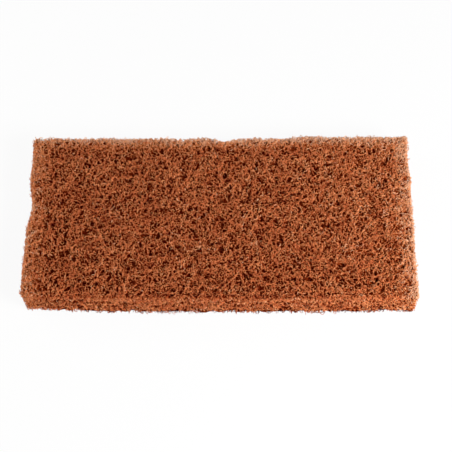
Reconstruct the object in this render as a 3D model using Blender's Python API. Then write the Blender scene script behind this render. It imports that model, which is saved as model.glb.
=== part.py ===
# Scrub pad: one block of crimped fibres bonded with resin, here a solid with an open, pitted skin.
# The origin is the middle of the resting face. +X runs along the pad, +Y to its back edge, +Z up.

import math

import bmesh
import bpy
from mathutils import Vector

# Overall size, in metres
PAD_LENGTH = 0.254
PAD_DEPTH = 0.119
PAD_THICKNESS = 0.0254

# Edges rounded by use, each point of them frayed inwards by up to the stated amount
EDGE_RADIUS = 0.0025
EDGE_SEGMENTS = 2
EDGE_FRAY = 0.0009

# Pores between the fibres: the skin is a grid of cells, and a share of the cells is open
CELL_PITCH = 0.0043
CELL_SKEW = 0.0012
PORE_SHARE = 0.28
PORE_DEPTH_LEAST = 0.0015
PORE_DEPTH_MOST = 0.0045

# Outline seen from above: all of it lies inside the overall size
LEFT_HOLLOW_DEPTH = 0.0024
LEFT_HOLLOW_FROM_BACK = 0.0535
LEFT_HOLLOW_REACH = 0.014
BACK_NOTCH_DEPTH = 0.0026
BACK_NOTCH_FROM_LEFT = 0.129
BACK_NOTCH_REACH = 0.005
BACK_STEP_DEPTH = 0.0015
BACK_STEP_FROM_LEFT = 0.170
BACK_STEP_REACH = 0.016
FRONT_BOW = 0.0010
EDGE_WAVE = 0.0005
EDGE_WAVE_LENGTH = 0.034

# Look of the fibres, as linear red, green, blue and alpha
FIBRE_COLOUR = (0.27, 0.066, 0.025, 1.0)
FIBRE_ROUGHNESS = 0.7

# Numbers that tell the draws of one kind from those of another
SKEW_SALTS = (1, 2, 3)
FRAY_SALT = 4
PORE_SALT = 5
DEPTH_SALT = 6

# A draw stirs whole numbers modulo a prime. The start keeps them above 0, because indices begin at -1
DRAW_START = 2
DRAW_STEP = 7919
DRAW_PRIME = 999983

# Two places nearer than this are the same place
SAME_PLACE = 0.00001

HALF_SIZE = Vector((PAD_LENGTH, PAD_DEPTH, PAD_THICKNESS)) / 2
HALF_FLAT = HALF_SIZE - Vector((EDGE_RADIUS, EDGE_RADIUS, EDGE_RADIUS))
CELL_COUNTS = [max(1, round(2 * flat / CELL_PITCH)) for flat in HALF_FLAT]
CELL_SIZES = [2 * flat / count for flat, count in zip(HALF_FLAT, CELL_COUNTS)]


def clear_scene():
    """Remove the objects that a new Blender file starts with."""
    for leftover in list(bpy.data.objects):
        bpy.data.objects.remove(leftover, do_unlink=True)


def make_fibre_material():
    """Orange-brown fibre under a thin coat of resin."""
    material = bpy.data.materials.new("bonded_fibre")
    material.use_nodes = True
    shader = material.node_tree.nodes["Principled BSDF"]
    shader.inputs["Base Color"].default_value = FIBRE_COLOUR
    shader.inputs["Roughness"].default_value = FIBRE_ROUGHNESS
    shader.inputs["Metallic"].default_value = 0.0
    return material


def draw(cell, salt):
    """A fixed number from 0 to 1 for a cell: each index is added in turn and the sum is cubed, all
    in whole numbers and modulo a prime."""
    stirred = salt
    for index in cell:
        stirred = pow(stirred + DRAW_STEP * (index + DRAW_START), 3, DRAW_PRIME)
    return stirred / DRAW_PRIME


def cell_of(place):
    """The indices of the cell that holds a place: -1 and the count lie on the outer faces."""
    steps = ((at + flat) / size for at, flat, size in zip(place, HALF_FLAT, CELL_SIZES))
    return [math.floor(step) for step in steps]


def corner_of(place):
    """The indices of the grid corner nearest to a place."""
    steps = ((at + flat) / size for at, flat, size in zip(place, HALF_FLAT, CELL_SIZES))
    return [round(step) for step in steps]


def past_flat(place):
    """Along each axis, whether a place lies on or past the end of the flat stretch."""
    return [abs(at) > flat - SAME_PLACE for at, flat in zip(place, HALF_FLAT)]


def slice_into_cells(mesh):
    """Cut the block's skin by evenly spaced planes across each axis."""
    for axis in range(3):
        for line in range(CELL_COUNTS[axis] + 1):
            place = Vector((0, 0, 0))
            place[axis] = line * CELL_SIZES[axis] - HALF_FLAT[axis]
            across = Vector((0, 0, 0))
            across[axis] = 1
            everything = mesh.verts[:] + mesh.edges[:] + mesh.faces[:]
            bmesh.ops.bisect_plane(mesh, geom=everything, dist=SAME_PLACE, plane_co=place, plane_no=across)


def skew_cells(mesh):
    """Move each grid corner within its own face, so that no two cells are alike."""
    for vertex in mesh.verts:
        corner = corner_of(vertex.co)
        held = past_flat(vertex.co)
        for axis in range(3):
            if not held[axis]:
                vertex.co[axis] += CELL_SKEW * (2 * draw(corner, SKEW_SALTS[axis]) - 1)


def fray_edges(mesh):
    """Draw the ridge of each rounded edge in towards the middle of the block."""
    for vertex in mesh.verts:
        past_by = [abs(at) - flat for at, flat in zip(vertex.co, HALF_FLAT)]
        rounded = [axis for axis in range(3) if past_by[axis] > SAME_PLACE]
        if len(rounded) < 2:
            continue
        fray = EDGE_FRAY * draw(corner_of(vertex.co), FRAY_SALT) / math.sqrt(len(rounded))
        for axis in rounded:
            vertex.co[axis] -= math.copysign(fray, vertex.co[axis])


def is_open_cell(face):
    """A cell of a flat side is open by its draw. Strips along the rounded edges stay closed."""
    centre = face.calc_center_median()
    outer_axes = sum(past_flat(centre))
    return outer_axes == 1 and draw(cell_of(centre), PORE_SALT) < PORE_SHARE


def pore_depth(cell, outer_axis):
    """Deeper pores are rarer, and those beside a rounded edge are all of the least depth."""
    along = [axis for axis in range(3) if axis != outer_axis]
    if any(cell[axis] in (0, CELL_COUNTS[axis] - 1) for axis in along):
        return PORE_DEPTH_LEAST
    return PORE_DEPTH_LEAST + (PORE_DEPTH_MOST - PORE_DEPTH_LEAST) * draw(cell, DEPTH_SALT) ** 2


def open_pores(mesh):
    """Push the middle of each open cell straight into the block, as a four-sided pit."""
    open_faces = [face for face in mesh.faces if is_open_cell(face)]
    poked = bmesh.ops.poke(mesh, faces=open_faces)
    for vertex in poked["verts"]:
        outer_axis = past_flat(vertex.co).index(True)
        depth = pore_depth(cell_of(vertex.co), outer_axis)
        vertex.co[outer_axis] -= math.copysign(depth, vertex.co[outer_axis])


def bump(at, middle, reach):
    """A smooth hump of height 1: the exponential of minus the squared distance in reaches."""
    return math.exp(-(((at - middle) / reach) ** 2))


def rising_step(at, start, length):
    """A smooth step from 0 before the start to 1 past its length, by the cubic 3t^2 - 2t^3."""
    t = min(max((at - start) / length, 0), 1)
    return t * t * (3 - 2 * t)


def shape_outline(mesh):
    """Press the four edges in by hand-made unevenness, most at the edge and less further in."""
    for vertex in mesh.verts:
        x, y = vertex.co.x, vertex.co.y
        side_wave = EDGE_WAVE * (1 + math.sin(2 * math.pi * y / EDGE_WAVE_LENGTH)) / 2
        long_wave = EDGE_WAVE * (1 + math.sin(2 * math.pi * x / EDGE_WAVE_LENGTH)) / 2
        hollow = LEFT_HOLLOW_DEPTH * bump(HALF_SIZE.y - y, LEFT_HOLLOW_FROM_BACK, LEFT_HOLLOW_REACH)
        notch = BACK_NOTCH_DEPTH * bump(x + HALF_SIZE.x, BACK_NOTCH_FROM_LEFT, BACK_NOTCH_REACH)
        step = BACK_STEP_DEPTH * (1 - rising_step(x + HALF_SIZE.x, BACK_STEP_FROM_LEFT, BACK_STEP_REACH))
        bow = FRONT_BOW * (x / HALF_SIZE.x) ** 2
        end_inset = side_wave + (hollow if x < 0 else 0)
        long_inset = long_wave + (notch + step if y > 0 else bow)
        vertex.co.x -= math.copysign(end_inset * (x / HALF_SIZE.x) ** 2, x)
        vertex.co.y -= math.copysign(long_inset * (y / HALF_SIZE.y) ** 2, y)


def make_pad_mesh():
    """The whole block, from a cube to its worn and pitted form, standing on its resting face."""
    mesh = bmesh.new()
    bmesh.ops.create_cube(mesh, size=1)
    bmesh.ops.scale(mesh, verts=mesh.verts, vec=2 * HALF_SIZE)
    bmesh.ops.bevel(mesh, geom=mesh.edges[:], offset=EDGE_RADIUS, offset_type="OFFSET",
                    segments=EDGE_SEGMENTS, profile=0.5, affect="EDGES")
    slice_into_cells(mesh)
    fray_edges(mesh)
    skew_cells(mesh)
    open_pores(mesh)
    shape_outline(mesh)
    bmesh.ops.translate(mesh, verts=mesh.verts, vec=(0, 0, HALF_SIZE.z))
    bmesh.ops.recalc_face_normals(mesh, faces=mesh.faces)
    data = bpy.data.meshes.new("fibre_pad")
    mesh.to_mesh(data)
    mesh.free()
    return data


def build():
    """Put the pad in a collection of its own."""
    clear_scene()
    collection = bpy.data.collections.new("scrub_pad")
    bpy.context.scene.collection.children.link(collection)
    pad = bpy.data.objects.new("fibre_pad", make_pad_mesh())
    pad.data.materials.append(make_fibre_material())
    collection.objects.link(pad)


build()
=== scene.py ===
import bpy
import numpy as np
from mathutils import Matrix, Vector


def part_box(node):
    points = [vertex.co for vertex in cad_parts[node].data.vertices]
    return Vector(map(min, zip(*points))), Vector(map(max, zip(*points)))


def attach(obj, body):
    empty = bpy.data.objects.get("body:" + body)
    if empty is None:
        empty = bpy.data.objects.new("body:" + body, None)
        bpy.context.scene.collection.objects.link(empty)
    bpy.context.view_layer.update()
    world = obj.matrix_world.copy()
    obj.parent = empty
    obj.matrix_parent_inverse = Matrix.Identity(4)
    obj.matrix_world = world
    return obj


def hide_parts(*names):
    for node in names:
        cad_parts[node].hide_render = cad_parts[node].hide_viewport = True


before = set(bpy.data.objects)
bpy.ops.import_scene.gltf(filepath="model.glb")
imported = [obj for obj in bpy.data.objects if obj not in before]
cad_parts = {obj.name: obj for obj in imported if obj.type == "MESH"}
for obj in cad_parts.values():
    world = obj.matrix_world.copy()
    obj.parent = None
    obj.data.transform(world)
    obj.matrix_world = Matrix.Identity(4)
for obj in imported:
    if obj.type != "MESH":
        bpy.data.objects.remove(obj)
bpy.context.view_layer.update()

# The scrub pad as a web of real fibres: a core inside in painted shade, and crimped fibres wound over all
# its sides.
# Lengths are in metres. The origin is the middle of the resting face, with +X along the pad and +Z up.

MM = 0.001

# The block, as the frame gives it, and the rounding of its edges
LOW, HIGH = (np.array(corner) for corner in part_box("fibre_pad"))
HALF_SIZE = (HIGH - LOW) / 2
THICKNESS = 2 * HALF_SIZE[2]
EDGE_RADIUS = 2.5 * MM
HALF_FLAT = HALF_SIZE - EDGE_RADIUS
QUARTER_TURN = np.pi / 2

# Ways along the skin: over one rounded edge, down a side, down it with both edges, and round all sides
ARC = EDGE_RADIUS * QUARTER_TURN
SIDE_HEIGHT = THICKNESS - 2 * EDGE_RADIUS
WRAP = 2 * ARC + SIDE_HEIGHT
GIRTH = 4 * (HALF_FLAT[0] + HALF_FLAT[1] + ARC)

# Cells and pores of the skin, as in the solid
CELL_PITCH = 4.3 * MM
PORE_SHARE = 0.28
PORE_DEPTH = (1.5 * MM, 4.5 * MM)
CELL_COUNTS = np.maximum(1, np.rint(2 * HALF_FLAT / CELL_PITCH)).astype(int)
CELL_SIZES = 2 * HALF_FLAT / CELL_COUNTS

# Pores in the fibres and the core: reach, empty share, stray, stretch, sinking, bowl and fibres that cross
PORE_REACH = (1.3 * MM, 3.0 * MM)
PORE_EMPTY = (0.15, 0.85)
PORE_STRAY = 1.1 * MM
PORE_STRETCH_MOST = 1.5
PORE_SINK_SHARE = 0.3
PORE_BOWL_SHARE = 0.9
STUBBORN_SHARE = 0.2

# A pore acts on points that face its side, and one in its middle counts as a small share of its reach out
FACING_LEAST = 0.7
NEAREST_SHARE = 0.02

# Numbers that tell the draws of one kind from those of another, the first two as in the solid
PORE_SALT = 5
DEPTH_SALT = 6
REACH_SALT = 7
STRAY_SALTS = (9, 10)
TURN_SALT = 11
STRETCH_SALT = 12

# A draw stirs whole numbers modulo a prime. The start keeps them above 0, because indices begin at -1
DRAW_START = 2
DRAW_STEP = 7919
DRAW_PRIME = 999983

# Outline seen from above, as in the solid
LEFT_HOLLOW_DEPTH = 2.4 * MM
LEFT_HOLLOW_FROM_BACK = 53.5 * MM
LEFT_HOLLOW_REACH = 14 * MM
BACK_NOTCH_DEPTH = 2.6 * MM
BACK_NOTCH_FROM_LEFT = 129 * MM
BACK_NOTCH_REACH = 5 * MM
BACK_STEP_DEPTH = 1.5 * MM
BACK_STEP_FROM_LEFT = 170 * MM
BACK_STEP_REACH = 16 * MM
FRONT_BOW = 1.0 * MM
EDGE_WAVE = 0.5 * MM
EDGE_WAVE_LENGTH = 34 * MM

# Loose foot and upright corners of the web past the solid, and its worn front left corner
SKIRT = 1.4 * MM
SKIRT_LOSS = 1.6
CORNER_FILL = 1.0 * MM
WORN_REACH = 40 * MM

# Number of fibres in each piece, and the names and seeds of the three equal pieces above
TOP_PIECES = (("top_fibres_a", 101), ("top_fibres_b", 103), ("top_fibres_c", 109))
TOP_FIBRES = 2140
RIM_FIBRES = 1950
OUTER_RIM_FIBRES = 300
BOTTOM_FIBRES = 1250

# Steps that spread their starts and levels evenly, and how far a start strays and lies past a broad side
BROAD_STEPS = (0.8191725, 0.6710436, 0.5497005)
RIM_STEPS = (0.7548777, 0.5698403)
SCATTER = 2.0 * MM
SPILL = 2.0 * MM

# One fibre: its points, and its radius with the unevenness of that
FIBRE_STEPS = 16
STRIDE = 1.05 * MM
ALONG = np.arange(FIBRE_STEPS) * STRIDE
FIBRE_RADIUS = 0.235 * MM
RADIUS_SHARES = (0.75, 1.25)
RADIUS_NOISE = 0.14

# Curls of a fibre: its waves' lengths and swings in radians, its drift per metre and its lean at the rim
LONG_WAVE = (7 * MM, 12 * MM)
SHORT_WAVE = (2.4 * MM, 4.0 * MM)
BROAD_SWAY = (0.2, 1.0)
RIM_SWAY = (0.3, 1.4)
SHORT_SWAY = (0.7, 1.3)
DRIFT = 20
RIM_LEAN = 0.9

# Weave through the skin: its top, its depth, and a fibre's level, wave, swing and loop within it
SHELL_TOP = 0.35 * MM
SHELL_DEPTH = 2.7 * MM
LEVEL_POWER = 2.2
LEVEL_ENDS = (-0.15, 1)
WEAVE_WAVE = (3 * MM, 6 * MM)
WEAVE_SWING = (0.5, 0.9)
LOOP_RISE = 1.5 * MM
LOOP_SHARE = 0.2

# Core: the step of its grid, and how deep it lies below, at the sides and above
CORE_STEP = 1.45 * MM
CORE_INSETS = (0.5 * MM, 1.0 * MM, 2.3 * MM)

# Least heights over the floor
FIBRE_CLEARANCE = 0.03 * MM
CORE_CLEARANCE = 0.15 * MM

# Painted light near a border, as lighter fibre and less depth shade: its strength there and how far in it
# reaches
RIGHT_WIDE_GLOW = (0.45, 105 * MM)
RIGHT_GLOW = (2.1, 16 * MM)
LEFT_GLOW = (2.1, 17 * MM)
BACK_GLOW = (3.2, 13 * MM)
LEFT_LIGHT_TONE_SHARE = 0.6
GLOW_LOSS = 0.65
GLOW_LOSS_DOWN = 12 * MM

# In front, the painted light peaks some way down, and painted shade darkens a ridge along the upper edge
FRONT_REACH = 3 * MM
FRONT_PEAK_DOWN = 9 * MM
FRONT_FALL = 7 * MM
FRONT_LIGHT_DEPTH_SHARE = 0.2
FRONT_LIGHT_TONE_SHARE = 0.35
RIDGE_SHADE = (0.5, 7 * MM)

# Shade along the foot: its height, how far in it reaches and over what stretch it fades there
FOOT_SHADE_HEIGHT = 3.5 * MM
FOOT_SHADE_REACH = 4.5 * MM
FOOT_SHADE_FADE = 3 * MM

# Tone of a fibre, from 0 the reddest to 1 the palest, and how painted light and shade change its tone and
# depth
TONE_MIDDLE = 0.44
TONE_SPREAD = 0.16
PAINTED_LIGHT_TONE_GAIN = 0.23
SHADE_TONE = 0.3
PAINTED_LIGHT_DEPTH_GAIN = 0.32
SHADE_DEPTH = 0.5

# Uneven fields by strength, seed and wave length: mottle of tone and depth, and lumps of the core
MOTTLE = ((0.022, 11, 22 * MM), (0.03, 12, 6 * MM))
CORE_LUMPS = ((0.35 * MM, 21, 5 * MM),)
FIELD_WAVES = 14
FIELD_LENGTH_SHARES = (0.7, 1.5)

# On the bake map, the corners of one ring lie a little apart, so that no triangle there is a line
MAP_CORNERS = np.array([[0, 0], [0.006, 0], [0, 0.006]])
MAP_MARGIN = 0.002

# Glow of the core: the most painted light it takes from a border, what it has below, and how much that
# lessens its depth shade
CORE_GLOW_MOST = 0.7
CORE_GLOW_BELOW = 0.7
CORE_GLOW_DEPTH = 0.3

# Colours of the fibre itself by its tone, and of the painted shade over it by its depth, darkest in the
# heart
OWN_COLOURS = ((0.0, (0.52, 0.100, 0.024)), (0.3, (0.70, 0.176, 0.057)), (0.55, (0.83, 0.263, 0.090)),
               (0.8, (0.94, 0.378, 0.145)), (1.0, (0.97, 0.540, 0.325)))
DEPTH_SHADE_COLOURS = ((0.0, (0.05, 0.001, 0.0001)), (0.3, (0.13, 0.011, 0.0008)), (0.58, (0.52, 0.29, 0.17)),
                 (0.86, (1.0, 1.0, 1.0)))
HEART_ROUGHNESS = 0.85
SKIN_ROUGHNESS = 0.3
FIBRE_GLOSS = 0.13

# Nets drawn on the core: cells per metre, where a line ends and is full, and how it wanders and stands up
NET_SCALES = (330, 520)
NET_LINE_END = 0.16
NET_LINE_FULL = 0.03
NET_WANDER_SCALE = 260
NET_WANDER = 6 * MM
NET_DEPTH = 0.4
NET_RELIEF = 0.5 * MM

# Camera: its distance, elevation and lens, and how its aim is moved
CAMERA_DISTANCE = 0.749
CAMERA_ELEVATION = np.radians(63.8)
CAMERA_LENS = 89.3
CAMERA_RIGHT = 4.0 * MM
CAMERA_UP = -1.9 * MM
CAMERA_FORTH = -0.75 * MM
CAMERA_NEAREST = 0.05

# Light of the surround and of two soft boxes, and the white floor
WORLD_LIGHT = 0.15
SOFT_BOX_PLACE = (0.44, -0.34, 0.50)
SOFT_BOX_SIZE = 0.3
SOFT_BOX_POWER = 6.35
FILL_BOX_PLACE = (-0.60, 0.20, 0.28)
FILL_BOX_SIZE = 0.4
FILL_BOX_POWER = 1.8
SWEEP_HALF = 3.0
SWEEP_COLOUR = (0.9, 0.9, 0.9, 1)
SWEEP_ROUGHNESS = 0.9
SWEEP_GLOSS = 0.5
SWEEP_GLOW_SHARE = 0.93

# Keeps a division from failing
NEARLY_ZERO = 1e-9


def draw(i, j, k, salt):
    """Fixed numbers from 0 to 1 for cells: each index is added in turn and the sum is cubed, all in
    whole numbers and modulo a prime, as the solid's pores are drawn."""
    stirred = np.full(np.broadcast(i, j, k).shape, salt, np.int64)
    for index in (i, j, k):
        stirred = (stirred + DRAW_STEP * (index + DRAW_START)) % DRAW_PRIME
        stirred = stirred * stirred % DRAW_PRIME * stirred % DRAW_PRIME
    return stirred / DRAW_PRIME


def between(ends, share):
    """The first end plus a share of the way to the second."""
    return ends[0] + (ends[1] - ends[0]) * share


def uneven(points, fields):
    """The sum of smooth random fields of given strengths. Each is the sum of sine waves of the place, with
    random directions and lengths near its own, over the root of half their number."""
    total = 0
    for strength, seed, wave_length in fields:
        rng = np.random.default_rng(seed)
        directions = rng.normal(size=(FIELD_WAVES, 3))
        directions /= np.linalg.norm(directions, axis=1, keepdims=True)
        pace = 2 * np.pi / (wave_length * rng.uniform(*FIELD_LENGTH_SHARES, FIELD_WAVES))
        phase = rng.uniform(0, 2 * np.pi, FIELD_WAVES)
        waves = np.sin(points @ (directions * pace[:, None]).T + phase)
        total = total + strength * waves.sum(-1) / np.sqrt(FIELD_WAVES / 2)
    return total


def smooth_step(value):
    """0 below 0 and 1 above 1, with the cubic 3t^2 - 2t^3 between."""
    t = np.clip(value, 0, 1)
    return t * t * (3 - 2 * t)


def fading(distance, strength, reach):
    """A strength that falls to 0 over a reach, by a smooth step of the distance."""
    return strength * smooth_step(1 - distance / reach)


def hump(at, middle, reach):
    """A smooth hump of height 1: the exponential of minus the squared distance in reaches."""
    return np.exp(-(((at - middle) / reach) ** 2))


def edge_wave(at):
    """A gentle wave of the outline: a sine wave of the place, from 0 to its full depth."""
    return EDGE_WAVE * (1 + np.sin(2 * np.pi * at / EDGE_WAVE_LENGTH)) / 2


def press_outline(points):
    """Press the four edges in by the solid's unevenness, as the square of the share of the way out."""
    x, y = points[..., 0], points[..., 1]
    hollow = LEFT_HOLLOW_DEPTH * hump(HALF_SIZE[1] - y, LEFT_HOLLOW_FROM_BACK, LEFT_HOLLOW_REACH)
    notch = BACK_NOTCH_DEPTH * hump(x + HALF_SIZE[0], BACK_NOTCH_FROM_LEFT, BACK_NOTCH_REACH)
    step = fading(x + HALF_SIZE[0] - BACK_STEP_FROM_LEFT, BACK_STEP_DEPTH, BACK_STEP_REACH)
    bow = FRONT_BOW * (x / HALF_SIZE[0]) ** 2
    end_inset = edge_wave(y) + np.where(x < 0, hollow, 0)
    long_inset = edge_wave(x) + np.where(y > 0, notch + step, bow)
    pressed = points.copy()
    pressed[..., 0] -= np.sign(x) * end_inset * (x / HALF_SIZE[0]) ** 2
    pressed[..., 1] -= np.sign(y) * long_inset * (y / HALF_SIZE[1]) ** 2
    return pressed


def fold_over(u, v):
    """A place on the flat sheet over the top as a point of the flat's edge, an outward direction and a
    distance past that edge. A corner's square of sheet goes round the corner by its angle."""
    base = np.stack([np.clip(u, -HALF_FLAT[0], HALF_FLAT[0]), np.clip(v, -HALF_FLAT[1], HALF_FLAT[1])], -1)
    over = np.stack([u, v], -1) - base
    past = np.abs(over).max(-1)
    outward = over / np.maximum(np.linalg.norm(over, axis=-1, keepdims=True), NEARLY_ZERO)
    return base, outward, past


def go_round(p):
    """A distance round the block as a point of the flat's edge and an outward direction: both run along
    straight stretches and turn through the four corners."""
    fx, fy = HALF_FLAT[:2]
    legs = np.cumsum([0, 2 * fy, ARC, 2 * fx, ARC, 2 * fy, ARC, 2 * fx, ARC])
    p = np.mod(p, legs[-1])
    x = np.interp(p, legs, [fx, fx, fx, -fx, -fx, -fx, -fx, fx, fx])
    y = np.interp(p, legs, [-fy, fy, fy, fy, fy, -fy, -fy, -fy, -fy])
    turn = np.interp(p, legs, QUARTER_TURN * np.array([0, 0, 1, 1, 2, 2, 3, 3, 4]))
    return np.stack([x, y], -1), np.stack([np.cos(turn), np.sin(turn)], -1)


def place_on_shell(base, outward, past, height):
    """Points at a height over the block's skin, and the skin's normals there. Going past the top's edge,
    the skin turns down a quarter circle, runs straight down, turns in by another and runs back below."""
    first = np.clip(past / EDGE_RADIUS, 0, QUARTER_TURN)
    straight = np.clip(past - ARC, 0, SIDE_HEIGHT)
    second = np.clip((past - ARC - SIDE_HEIGHT) / EDGE_RADIUS, 0, QUARTER_TURN)
    below = np.maximum(past - WRAP, 0)
    inside = np.minimum(past, 0)
    reach = inside + EDGE_RADIUS * (np.sin(first) + np.cos(second) - 1) - below
    drop = EDGE_RADIUS * (1 - np.cos(first) + np.sin(second)) + straight
    turn = (first + second)[..., None]
    normal = np.concatenate([outward * np.sin(turn), np.cos(turn)], -1)
    skin = np.concatenate([base + outward * reach[..., None], (THICKNESS - drop)[..., None]], -1)
    return skin + normal * height[..., None], normal


def loose_edges(base, outward, past):
    """How far the web bulges past the rounded solid: along the foot of the sides by a half sine wave, and
    down the upright corners by twice the product of the outward direction's parts. The foot of the worn
    front left corner is drawn in instead, by a smooth step of the distance to it."""
    foot = np.clip((past - ARC - SIDE_HEIGHT) / ARC, 0, 1)
    corner = 2 * np.abs(outward[..., 0] * outward[..., 1]) * np.clip(past / ARC, 0, 1)
    worn = fading(np.linalg.norm(base + HALF_FLAT[:2], axis=-1), 1, WORN_REACH)
    return SKIRT * np.sin(np.pi * foot) * (1 - SKIRT_LOSS * worn) + CORNER_FILL * corner * (1 - worn)


def skin_pores():
    """For each of the six sides: its axis and direction, the two axes along it, and of each cell whether
    it is open, and its pore's depth, reach, empty share, stray, turn and stretch. Deeper pores are rarer
    and emptier, and those beside an edge are all of the least depth."""
    sides = []
    for axis in range(3):
        along = [other for other in range(3) if other != axis]
        grid = np.meshgrid(*(np.arange(CELL_COUNTS[other]) for other in along), indexing="ij")
        for direction in (-1, 1):
            cell = [None, None, None]
            cell[along[0]], cell[along[1]] = grid
            cell[axis] = np.full(grid[0].shape, -1 if direction < 0 else CELL_COUNTS[axis])
            rareness = draw(*cell, DEPTH_SALT) ** 2
            depth = between(PORE_DEPTH, rareness)
            depth[[0, -1], :] = PORE_DEPTH[0]
            depth[:, [0, -1]] = PORE_DEPTH[0]
            strays = np.stack([draw(*cell, salt) for salt in STRAY_SALTS], -1)
            sides.append((axis, direction, along, {
                "open": draw(*cell, PORE_SALT) < PORE_SHARE,
                "depth": depth,
                "reach": between(PORE_REACH, draw(*cell, REACH_SALT)),
                "empty": between(PORE_EMPTY, rareness),
                "stray": PORE_STRAY * (2 * strays - 1),
                "turn": np.pi * draw(*cell, TURN_SALT),
                "stretch": PORE_STRETCH_MOST ** draw(*cell, STRETCH_SALT),
            }))
    return sides


PORES = skin_pores()


def near_pores(points, normals):
    """For each side and each of the nine cells round a point: which points lie within an open cell's
    reach, the way from its middle, how far out they are as a share of its oval, and its pore. The oval
    is a circle made longer one way and narrower the other by the stretch."""
    for axis, direction, along, traits in PORES:
        facing = np.flatnonzero(direction * normals[:, axis] > FACING_LEAST)
        middle = np.array([THICKNESS / 2 if other == 2 else 0 for other in along])
        steps = (points[facing][:, along] + HALF_FLAT[along] - middle) / CELL_SIZES[along]
        for shift in np.ndindex(3, 3):
            cell = np.floor(steps).astype(int) + np.array(shift) - 1
            held = ((cell >= 0) & (cell < CELL_COUNTS[along])).all(1)
            cell = cell.clip(0, CELL_COUNTS[along] - 1)
            pore = {name: values[cell[:, 0], cell[:, 1]] for name, values in traits.items()}
            away = (steps - cell - 0.5) * CELL_SIZES[along] - pore["stray"]
            cos, sin = np.cos(pore["turn"]), np.sin(pore["turn"])
            longways = (away[:, 0] * cos + away[:, 1] * sin) / pore["stretch"]
            crossways = (away[:, 1] * cos - away[:, 0] * sin) * pore["stretch"]
            share = np.hypot(longways, crossways) / pore["reach"]
            hit = held & pore["open"] & (share < 1)
            pore = {name: values[hit] for name, values in pore.items()}
            yield facing[hit], along, away[hit], np.maximum(share[hit], NEAREST_SHARE), pore


def part_round_pores(points, normals, obeys):
    """Move fibres out of each pore to the ring that stays round it, keeping their order: a share s of
    its reach becomes the root of e^2 + (1 - e^2) s^2 for the empty share e. They sink a little there."""
    flat_points = points.reshape(-1, 3).copy()
    flat_normals = normals.reshape(-1, 3)
    obeys = np.broadcast_to(obeys, points.shape[:2]).ravel()
    start = flat_points.copy()
    for hit, along, away, share, pore in near_pores(start, flat_normals):
        moved = np.sqrt(pore["empty"] ** 2 + (1 - pore["empty"] ** 2) * share ** 2)
        step = np.zeros((len(hit), 3))
        step[:, along] = away * (moved / share - 1)[:, None]
        sink = PORE_SINK_SHARE * pore["depth"] * (1 - share ** 2)
        step = step * obeys[hit][:, None] - flat_normals[hit] * sink[:, None]
        np.add.at(flat_points, hit, step)
    return flat_points.reshape(points.shape)


def sink_into_pores(points, normals):
    """Push the core's skin in under each pore, by a cosine bowl nearly as deep as the pore."""
    sunk = points.copy()
    for hit, _, _, share, pore in near_pores(points, normals):
        bowl = PORE_BOWL_SHARE * pore["depth"] * (1 + np.cos(np.pi * share)) / 2
        np.add.at(sunk, hit, -normals[hit] * bowl[:, None])
    return sunk


def mesh_piece(name, points, triangles, material, tone_map=None, glow=None):
    """A smooth mesh object from whole arrays, with each vertex's tone and depth as its bake map, or with
    its glow as an attribute."""
    mesh = bpy.data.meshes.new(name)
    mesh.vertices.add(len(points))
    mesh.vertices.foreach_set("co", points.astype(np.float32).ravel())
    mesh.loops.add(triangles.size)
    mesh.loops.foreach_set("vertex_index", triangles.astype(np.int32).ravel())
    mesh.polygons.add(len(triangles))
    mesh.polygons.foreach_set("loop_start", np.arange(0, triangles.size, 3, dtype=np.int32))
    mesh.polygons.foreach_set("use_smooth", np.ones(len(triangles), bool))
    if tone_map is not None:
        layer = mesh.uv_layers.new(name="OFBake")
        layer.uv.foreach_set("vector", tone_map[triangles.ravel()].astype(np.float32).ravel())
    if glow is not None:
        mesh.attributes.new("glow", "FLOAT", "POINT").data.foreach_set("value", glow.astype(np.float32))
    mesh.update(calc_edges=True)
    mesh.materials.append(material)
    piece = bpy.data.objects.new(name, mesh)
    bpy.context.scene.collection.objects.link(piece)
    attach(piece, "root")
    return piece


def evenly_spread(first, count, steps):
    """Numbers from 0 to 1 that fill a line, square or cube evenly: whole numbers times one fixed step for
    each direction, less their whole part."""
    return (first + np.arange(1, count + 1))[:, None] * np.array(steps) % 1


def wave_along(rng, count, lengths):
    """The angle of a sine wave at each point of each fibre, from a random wave length and start."""
    one = (count, 1)
    return 2 * np.pi * ALONG / rng.uniform(*lengths, one) + rng.uniform(0, 2 * np.pi, one)


def curly_walks(rng, count, heading, sway):
    """Flat paths round their own middles. A heading is a start plus a long and a short sine wave and a
    slow drift of the distance along the fibre, and a path adds up strides along it."""
    one = (count, 1)
    long_wave = wave_along(rng, count, LONG_WAVE)
    short_wave = wave_along(rng, count, SHORT_WAVE)
    turn = heading[:, None] + rng.uniform(*sway, one) * np.sin(long_wave)
    turn = turn + rng.uniform(*SHORT_SWAY, one) * np.sin(short_wave)
    turn = turn + rng.normal(0, DRIFT, one) * (ALONG - ALONG.mean())
    path = STRIDE * np.cumsum(np.stack([np.cos(turn), np.sin(turn)], -1), axis=1)
    return path - path[:, [FIBRE_STEPS // 2]]


def weaving_heights(rng, level):
    """Heights about the skin. A fibre's depth is a power of its level, which favours the top, plus a sine
    wave of the distance along it. A share of them also rises off the skin in a half sine wave."""
    one = (len(level), 1)
    wave = wave_along(rng, len(level), WEAVE_WAVE)
    swing = rng.uniform(*WEAVE_SWING, one)
    depth = np.clip(level[:, None] ** LEVEL_POWER + swing * np.sin(wave), *LEVEL_ENDS)
    loop = rng.random(one) * (rng.random(one) < LOOP_SHARE)
    rise = LOOP_RISE * loop * np.sin(np.pi * ALONG / ALONG[-1])
    return SHELL_TOP - FIBRE_RADIUS - (SHELL_DEPTH - FIBRE_RADIUS) * depth + rise


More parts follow.
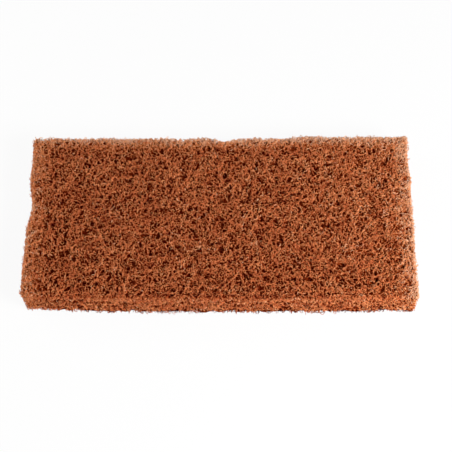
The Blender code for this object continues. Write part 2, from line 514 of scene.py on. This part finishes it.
def tubes(points, normals, radii):
    """Closed three-sided tubes along paths: at each point three corners a third of a turn apart, round
    the path's direction and starting at the skin's normal, then a flat cap at each end."""
    count, steps = points.shape[:2]
    forward = np.gradient(points, axis=1)
    forward /= np.linalg.norm(forward, axis=-1, keepdims=True)
    across = np.cross(forward, normals)
    across /= np.maximum(np.linalg.norm(across, axis=-1, keepdims=True), NEARLY_ZERO)
    up = np.cross(across, forward)
    angles = np.arange(3) * 2 * np.pi / 3
    ring = np.cos(angles)[:, None] * up[:, :, None] + np.sin(angles)[:, None] * across[:, :, None]
    corners = points[:, :, None] + radii[..., None, None] * ring
    index = np.arange(count * steps * 3).reshape(count, steps, 3)
    near, far = index[:, :-1], index[:, 1:]
    near_next, far_next = np.roll(near, -1, axis=2), np.roll(far, -1, axis=2)
    sides = np.stack([near, near_next, far_next, near, far_next, far], -1).reshape(-1, 3)
    caps = np.concatenate([index[:, 0, ::-1], index[:, -1]])
    return corners.reshape(-1, 3), np.concatenate([sides, caps])


def painted_border_light(points):
    """Painted light near the web's borders: how much it lessens the painted depth shade, and how much it
    pales the fibres there. Both are the largest of the right, left and back borders' shares, lessened
    down the sides, or a small share in front if that is larger. Painted shade along the front upper edge,
    a darker ridge, is taken from both."""
    x, y = points[..., 0], points[..., 1]
    down = THICKNESS - points[..., 2]
    right = fading(HALF_SIZE[0] - x, *RIGHT_WIDE_GLOW) + fading(HALF_SIZE[0] - x, *RIGHT_GLOW)
    left = fading(HALF_SIZE[0] + x, *LEFT_GLOW)
    back = fading(HALF_SIZE[1] - y, *BACK_GLOW)
    lessening = 1 - GLOW_LOSS * smooth_step(down / GLOW_LOSS_DOWN)
    in_front = fading(HALF_SIZE[1] + y, 1, FRONT_REACH)
    front = in_front * smooth_step(down / FRONT_PEAK_DOWN) * fading(down - FRONT_PEAK_DOWN, 1, FRONT_FALL)
    ridge = in_front * fading(down, *RIDGE_SHADE)
    # Painted light from the right, left and back borders, and painted shade along the front ridge
    painted_light_depth = np.maximum.reduce([right, left, back]) * lessening
    painted_light_tone = np.maximum.reduce([right, LEFT_LIGHT_TONE_SHARE * left, back]) * lessening
    return (np.maximum(painted_light_depth, FRONT_LIGHT_DEPTH_SHARE * front) - ridge,
            np.maximum(painted_light_tone, FRONT_LIGHT_TONE_SHARE * front) - ridge)


def foot_shade(points):
    """How much darker the web is along its foot: a smooth step down with height, times one down with the
    distance from the border."""
    inside = (HALF_SIZE[:2] - np.abs(points[..., :2])).min(-1)
    low = fading(points[..., 2], 1, FOOT_SHADE_HEIGHT)
    return low * smooth_step((FOOT_SHADE_REACH - inside) / FOOT_SHADE_FADE)


def fibre_piece(name, seed, base, outward, past, height, material):
    """Lay fibres on the shell, part them round the pores, press them with the outline and skin them. Their
    tone is the middle one, plus noise for each fibre and each point, mottle and painted light, less the
    painted shade. Their depth, which sets the painted depth shade, runs from 0 in the heart to 1 at the
    top, plus mottle and painted light, less the painted shade."""
    rng = np.random.default_rng(seed)
    points, normals = place_on_shell(base, outward, past, height + loose_edges(base, outward, past))
    each_fibre, each_point = (len(points), 1), points.shape[:2]
    points = part_round_pores(points, normals, rng.random(each_fibre) > STUBBORN_SHARE)
    points = press_outline(points)
    points[..., 2] = np.maximum(points[..., 2], FIBRE_RADIUS)
    radii = FIBRE_RADIUS * rng.uniform(*RADIUS_SHARES, each_fibre)
    radii = radii * (1 + RADIUS_NOISE * rng.normal(size=each_point))
    corners, triangles = tubes(points, normals, radii)
    corners[:, 2] = np.maximum(corners[:, 2], FIBRE_CLEARANCE)
    shade = foot_shade(points)
    # Painted light near the borders lightens the fibres and lessens the depth shade; painted shade darkens
    # the foot
    painted_light_depth, painted_light_tone = (share * (1 - shade) for share in painted_border_light(points))
    mottle = uneven(points, MOTTLE)
    tone = TONE_MIDDLE + rng.normal(0, TONE_SPREAD, each_fibre) + rng.normal(0, TONE_SPREAD, each_point)
    tone = tone + mottle + PAINTED_LIGHT_TONE_GAIN * painted_light_tone - SHADE_TONE * shade
    depth = 1 + (height - SHELL_TOP) / SHELL_DEPTH + mottle
    depth = depth + PAINTED_LIGHT_DEPTH_GAIN * painted_light_depth - SHADE_DEPTH * shade
    tone_map = np.stack([tone, depth], -1)[:, :, None] + MAP_CORNERS
    tone_map = np.clip(tone_map, MAP_MARGIN, 1 - MAP_MARGIN).reshape(-1, 2)
    return mesh_piece(name, corners, triangles, material, tone_map)


def broad_fibres(name, seed, first, count, material, below=False):
    """Fibres lying every way over one broad side and folded over its edges."""
    rng = np.random.default_rng(seed)
    spread = evenly_spread(first, count, BROAD_STEPS)
    start = (2 * spread[:, :2] - 1) * (HALF_FLAT[:2] + ARC + SPILL) + rng.normal(0, SCATTER, (count, 2))
    heading = rng.uniform(0, 2 * np.pi, count)
    path = start[:, None] + curly_walks(rng, count, heading, BROAD_SWAY)
    base, outward, past = fold_over(path[..., 0], path[..., 1])
    height = weaving_heights(rng, spread[:, 2])
    if below:
        base = base * [1, -1]
        outward = outward * [1, -1]
        past = WRAP - past
    return fibre_piece(name, seed + 1, base, outward, past, height, material)


def rim_fibres(name, seed, count, material):
    """Fibres lying along the upright sides, the way the web's layers run."""
    rng = np.random.default_rng(seed)
    spread = evenly_spread(seed, count, (1 / count, *RIM_STEPS))
    start = [0, ARC] + spread[:, :2] * [GIRTH, ARC + SIDE_HEIGHT] + rng.normal(0, SCATTER, (count, 2))
    heading = rng.normal(0, RIM_LEAN, count) + np.pi * rng.integers(0, 2, count)
    path = start[:, None] + curly_walks(rng, count, heading, RIM_SWAY)
    base, outward = go_round(path[..., 0])
    height = weaving_heights(rng, spread[:, 2])
    return fibre_piece(name, seed + 1, base, outward, path[..., 1], height, material)


def core_sheet(base, outward, past):
    """One half of the core: points on the skin, lumped and set in by the inset of their side, sunk under
    each pore and pressed with the outline. It takes painted light near the borders, and less painted
    shade below, where few fibres cover it, by the share of its normal that points down."""
    points, normals = place_on_shell(base, outward, past, loose_edges(base, outward, past))
    points, normals = points.reshape(-1, 3), normals.reshape(-1, 3)
    inset = np.interp(normals[:, 2], [-1, 0, 1], CORE_INSETS)
    points = points + normals * (uneven(points, CORE_LUMPS) - inset)[:, None]
    points = press_outline(sink_into_pores(points, normals))
    points[:, 2] = np.maximum(points[:, 2], CORE_CLEARANCE)
    # Painted light from the borders, capped, plus less painted depth shade on the underside
    glow = np.minimum(painted_border_light(points)[0], CORE_GLOW_MOST)
    return points, glow + CORE_GLOW_BELOW * np.maximum(-normals[:, 2], 0)


def web_core(material):
    """The closed, uneven body behind the fibres: two sheets folded over the block, one from above and one
    from below, which share their border at half its height."""
    reach = HALF_FLAT[:2] + WRAP / 2
    counts = np.rint(2 * reach / CORE_STEP).astype(int) + 1
    u, v = np.meshgrid(*(np.linspace(-r, r, n) for r, n in zip(reach, counts)), indexing="ij")
    base, outward, past = fold_over(u, v)
    halves = [core_sheet(base, outward, past), core_sheet(base, outward, WRAP - past)]
    points, glow = (np.concatenate(parts) for parts in zip(*halves))
    upper = np.arange(u.size).reshape(u.shape)
    lower = upper.copy()
    lower[1:-1, 1:-1] += u.size
    faces = []
    for sheet, order in ((upper, [0, 1, 2, 0, 2, 3]), (lower, [3, 2, 1, 3, 1, 0])):
        quads = np.stack([sheet[:-1, :-1], sheet[1:, :-1], sheet[1:, 1:], sheet[:-1, 1:]], -1)
        faces.append(quads[..., order].reshape(-1, 3))
    used, triangles = np.unique(np.concatenate(faces), return_inverse=True)
    return mesh_piece("web_core", points[used], triangles.reshape(-1, 3), material, glow=glow[used])


def new_material(name, gloss):
    """A material with a Principled shader of the given gloss, and its nodes and links to build on."""
    material = bpy.data.materials.new(name)
    material.use_nodes = True
    tree = material.node_tree
    shader = tree.nodes["Principled BSDF"]
    shader.inputs["Specular IOR Level"].default_value = gloss
    return material, tree, shader


def ramp(tree, stops):
    """A colour ramp node from (place, colour) pairs."""
    node = tree.nodes.new("ShaderNodeValToRGB")
    while len(node.color_ramp.elements) < len(stops):
        node.color_ramp.elements.new(0.5)
    for element, (place, colour) in zip(node.color_ramp.elements, stops):
        element.position = place
        element.color = (*colour, 1)
    return node


def painted_depth_shade_group():
    """Colour and roughness of fibre with painted depth shade: tone picks the fibre's own colour, and
    depth,
    0 in the heart and 1 at the skin, picks the painted shade, which multiplies it, and makes it less
    rough."""
    group = bpy.data.node_groups.new("fibre_with_painted_depth_shade", "ShaderNodeTree")
    for name in ("Tone", "Depth"):
        group.interface.new_socket(name, in_out="INPUT", socket_type="NodeSocketFloat")
    group.interface.new_socket("Color", in_out="OUTPUT", socket_type="NodeSocketColor")
    group.interface.new_socket("Roughness", in_out="OUTPUT", socket_type="NodeSocketFloat")
    given = group.nodes.new("NodeGroupInput")
    result = group.nodes.new("NodeGroupOutput")
    own = ramp(group, OWN_COLOURS)
    depth_shade = ramp(group, DEPTH_SHADE_COLOURS)
    mix = group.nodes.new("ShaderNodeMix")
    mix.data_type = "RGBA"
    mix.blend_type = "MULTIPLY"
    mix.inputs["Factor"].default_value = 1
    matt = group.nodes.new("ShaderNodeMapRange")
    matt.inputs["To Min"].default_value = HEART_ROUGHNESS
    matt.inputs["To Max"].default_value = SKIN_ROUGHNESS
    link = group.links.new
    link(given.outputs["Tone"], own.inputs["Fac"])
    link(given.outputs["Depth"], depth_shade.inputs["Fac"])
    link(own.outputs["Color"], mix.inputs["A"])
    link(depth_shade.outputs["Color"], mix.inputs["B"])
    link(given.outputs["Depth"], matt.inputs["Value"])
    link(mix.outputs["Result"], result.inputs["Color"])
    link(matt.outputs["Result"], result.inputs["Roughness"])
    return group


def depth_shaded_surface(tree, shader, group, tone, depth):
    """Place the painted depth shade group between its tone and depth and the shader's colour and
    roughness.
    """
    depth_shaded = tree.nodes.new("ShaderNodeGroup")
    depth_shaded.node_tree = group
    tree.links.new(tone, depth_shaded.inputs["Tone"])
    tree.links.new(depth, depth_shaded.inputs["Depth"])
    tree.links.new(depth_shaded.outputs["Color"], shader.inputs["Base Color"])
    tree.links.new(depth_shaded.outputs["Roughness"], shader.inputs["Roughness"])


def fibre_material(group):
    """Fibre whose tone and depth are read from the piece's own map."""
    material, tree, shader = new_material("resin_fibre", FIBRE_GLOSS)
    place = tree.nodes.new("ShaderNodeUVMap")
    place.uv_map = "OFBake"
    split = tree.nodes.new("ShaderNodeSeparateXYZ")
    tree.links.new(place.outputs["UV"], split.inputs["Vector"])
    depth_shaded_surface(tree, shader, group, split.outputs["X"], split.outputs["Y"])
    return material


def net_of_lines(tree, place, scale):
    """A net of soft lines along the borders of Voronoi cells: a smooth step of the distance to them."""
    cells = tree.nodes.new("ShaderNodeTexVoronoi")
    cells.feature = "DISTANCE_TO_EDGE"
    cells.inputs["Scale"].default_value = scale
    line = tree.nodes.new("ShaderNodeMapRange")
    line.interpolation_type = "SMOOTHSTEP"
    line.inputs["From Min"].default_value = NET_LINE_END
    line.inputs["From Max"].default_value = NET_LINE_FULL
    tree.links.new(place, cells.inputs["Vector"])
    tree.links.new(cells.outputs["Distance"], line.inputs["Value"])
    return line.outputs["Result"]


def core_material(group):
    """The web's inner layers, drawn as two nets of lines whose places a noise shifts. The lines stand up
    as a bump and have less painted shade than the gaps, and the piece's glow, painted light at the borders
    and a lift below, lifts both."""
    material, tree, shader = new_material("inner_web", 0.0)
    link = tree.links.new
    place = tree.nodes.new("ShaderNodeTexCoord")
    wander = tree.nodes.new("ShaderNodeTexNoise")
    wander.inputs["Scale"].default_value = NET_WANDER_SCALE
    wander.inputs["Detail"].default_value = 1
    link(place.outputs["Object"], wander.inputs["Vector"])
    shift = tree.nodes.new("ShaderNodeVectorMath")
    shift.operation = "MULTIPLY_ADD"
    shift.inputs[1].default_value = (NET_WANDER, NET_WANDER, NET_WANDER)
    link(wander.outputs["Color"], shift.inputs[0])
    link(place.outputs["Object"], shift.inputs[2])
    nets = tree.nodes.new("ShaderNodeMath")
    nets.operation = "MAXIMUM"
    for socket, scale in zip(nets.inputs, NET_SCALES):
        link(net_of_lines(tree, shift.outputs["Vector"], scale), socket)
    depth = tree.nodes.new("ShaderNodeMath")
    depth.operation = "MULTIPLY"
    depth.inputs[1].default_value = NET_DEPTH
    link(nets.outputs["Value"], depth.inputs[0])
    glow = tree.nodes.new("ShaderNodeAttribute")
    glow.attribute_name = "glow"
    lift = tree.nodes.new("ShaderNodeMath")
    lift.operation = "MULTIPLY_ADD"
    lift.inputs[1].default_value = CORE_GLOW_DEPTH
    link(glow.outputs["Fac"], lift.inputs[0])
    link(depth.outputs["Value"], lift.inputs[2])
    depth_shaded_surface(tree, shader, group, wander.outputs["Fac"], lift.outputs["Value"])
    bump = tree.nodes.new("ShaderNodeBump")
    bump.inputs["Distance"].default_value = NET_RELIEF
    link(nets.outputs["Value"], bump.inputs["Height"])
    link(bump.outputs["Normal"], shader.inputs["Normal"])
    return material


def add_camera():
    """The photograph's view: from the front, well above, with a long lens."""
    toward = np.array([0, np.cos(CAMERA_ELEVATION), -np.sin(CAMERA_ELEVATION)])
    up = np.array([0, np.sin(CAMERA_ELEVATION), np.cos(CAMERA_ELEVATION)])
    aim = np.array([CAMERA_RIGHT, CAMERA_FORTH, THICKNESS / 2]) + CAMERA_UP * up
    lens = bpy.data.cameras.new("camera")
    lens.lens = CAMERA_LENS
    lens.clip_start = CAMERA_NEAREST
    camera = bpy.data.objects.new("camera", lens)
    camera.location = aim - CAMERA_DISTANCE * toward
    camera.rotation_euler = (QUARTER_TURN - CAMERA_ELEVATION, 0, 0)
    bpy.context.scene.collection.objects.link(camera)
    bpy.context.scene.camera = camera


def add_lamp(name, place, size, power):
    """A square soft box that faces the pad."""
    light = bpy.data.lights.new(name, "AREA")
    light.size = size
    light.energy = power
    lamp = bpy.data.objects.new(name, light)
    lamp.location = place
    x, y, z = place
    lamp.rotation_euler = (np.arctan2(np.hypot(x, y), z), 0, np.arctan2(y, x) + QUARTER_TURN)
    bpy.context.scene.collection.objects.link(lamp)


def seen_directly(tree):
    """1 where the background is seen by the camera, in a reflection or through glass, and 0 elsewhere."""
    path = tree.nodes.new("ShaderNodeLightPath")
    either = path.outputs["Is Camera Ray"]
    for name in ("Is Glossy Ray", "Is Transmission Ray"):
        larger = tree.nodes.new("ShaderNodeMath")
        larger.operation = "MAXIMUM"
        tree.links.new(either, larger.inputs[0])
        tree.links.new(path.outputs[name], larger.inputs[1])
        either = larger.outputs["Value"]
    return either


def add_surround():
    """An even white surround that looks white and lights the pad weakly."""
    world = bpy.data.worlds.new("studio")
    bpy.context.scene.world = world
    world.use_nodes = True
    tree = world.node_tree
    surround = tree.nodes["Background"]
    surround.inputs["Color"].default_value = (1, 1, 1, 1)
    strength = tree.nodes.new("ShaderNodeMapRange")
    strength.inputs["To Min"].default_value = WORLD_LIGHT
    strength.inputs["To Max"].default_value = 1
    tree.links.new(seen_directly(tree), strength.inputs["Value"])
    tree.links.new(strength.outputs["Result"], surround.inputs["Strength"])


def sweep_material():
    """Matt white paper, which glows of itself where it is seen directly."""
    material, tree, shader = new_material("white_sweep", SWEEP_GLOSS)
    shader.inputs["Base Color"].default_value = SWEEP_COLOUR
    shader.inputs["Roughness"].default_value = SWEEP_ROUGHNESS
    glow = tree.nodes.new("ShaderNodeEmission")
    mix = tree.nodes.new("ShaderNodeMixShader")
    share = tree.nodes.new("ShaderNodeMath")
    share.operation = "MULTIPLY"
    share.inputs[1].default_value = SWEEP_GLOW_SHARE
    link = tree.links.new
    link(seen_directly(tree), share.inputs[0])
    link(share.outputs["Value"], mix.inputs["Fac"])
    link(shader.outputs["BSDF"], mix.inputs[1])
    link(glow.outputs["Emission"], mix.inputs[2])
    link(mix.outputs["Shader"], tree.nodes["Material Output"].inputs["Surface"])
    return material


def add_sweep():
    """A flat square floor of white paper under the pad."""
    half = SWEEP_HALF
    corners = [(-half, -half, 0), (half, -half, 0), (half, half, 0), (-half, half, 0)]
    mesh = bpy.data.meshes.new("sweep")
    mesh.from_pydata(corners, [], [(0, 1, 2, 3)])
    mesh.materials.append(sweep_material())
    floor = bpy.data.objects.new("sweep", mesh)
    bpy.context.scene.collection.objects.link(floor)


add_camera()
add_surround()
add_lamp("right_soft_box", SOFT_BOX_PLACE, SOFT_BOX_SIZE, SOFT_BOX_POWER)
add_lamp("left_fill_box", FILL_BOX_PLACE, FILL_BOX_SIZE, FILL_BOX_POWER)
add_sweep()

# One group of nodes paints the depth shade for both the core and the fibres
depth_shaded = painted_depth_shade_group()
core = web_core(core_material(depth_shaded))
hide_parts("fibre_pad")
fibre = fibre_material(depth_shaded)
for number, (name, seed) in enumerate(TOP_PIECES):
    broad_fibres(name, seed, number * TOP_FIBRES, TOP_FIBRES, fibre)
rim_fibres("rim_fibres", 105, RIM_FIBRES, fibre)
rim_fibres("outer_rim_fibres", 111, OUTER_RIM_FIBRES, fibre)
broad_fibres("bottom_fibres", 107, 3 * TOP_FIBRES, BOTTOM_FIBRES, fibre, below=True)

bpy.context.scene.view_settings.view_transform = "Standard"
